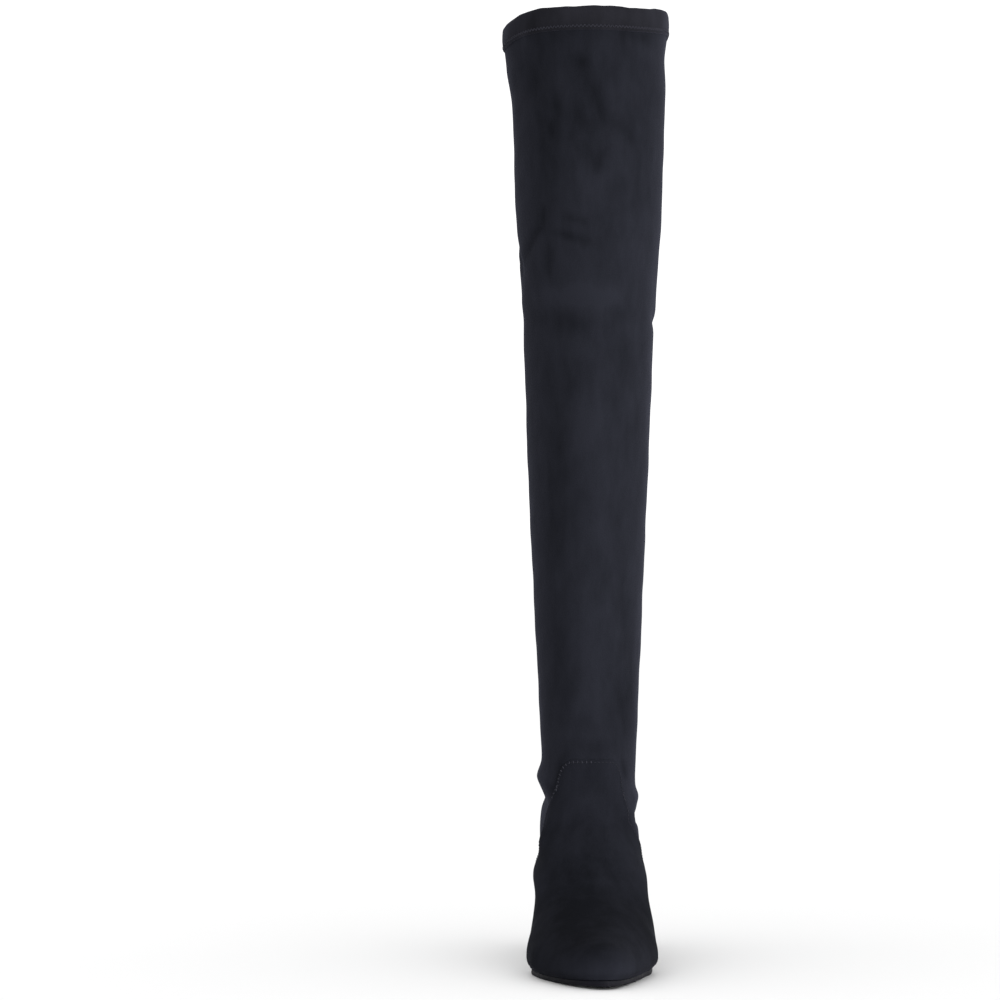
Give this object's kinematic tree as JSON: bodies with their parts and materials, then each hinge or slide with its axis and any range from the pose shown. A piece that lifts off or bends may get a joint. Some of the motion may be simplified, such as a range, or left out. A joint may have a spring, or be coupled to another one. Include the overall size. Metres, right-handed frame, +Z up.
{
  "type": "thigh high boot",
  "caption": "Left thigh-high boot of near-black stretch suede with a stitched folded collar, a vamp panel, an almond toe and a 60 mm covered block heel.",
  "frame": {"origin": "on the floor under the middle of the boot's bounding box", "axes": "+Z up, -Y towards the toe, +X towards the wearer's outer side of this left boot"},
  "size_m": [0.1204, 0.2528, 0.6703],
  "materials": {
    "shaft_suede": "matte",
    "vamp_suede": "matte",
    "heel_suede": "matte",
    "hem_suede": "matte",
    "sole_leather": "satin",
    "insole_board": "matte",
    "top_piece_rubber": "matte"
  },
  "bodies": {
    "root": {"upper": "shaft_suede", "vamp_panel": "vamp_suede", "collar_hem": "hem_suede", "insole": "insole_board", "outsole": "sole_leather", "heel_block": "heel_suede", "top_piece": "top_piece_rubber"}
  },
  "joints": []
}
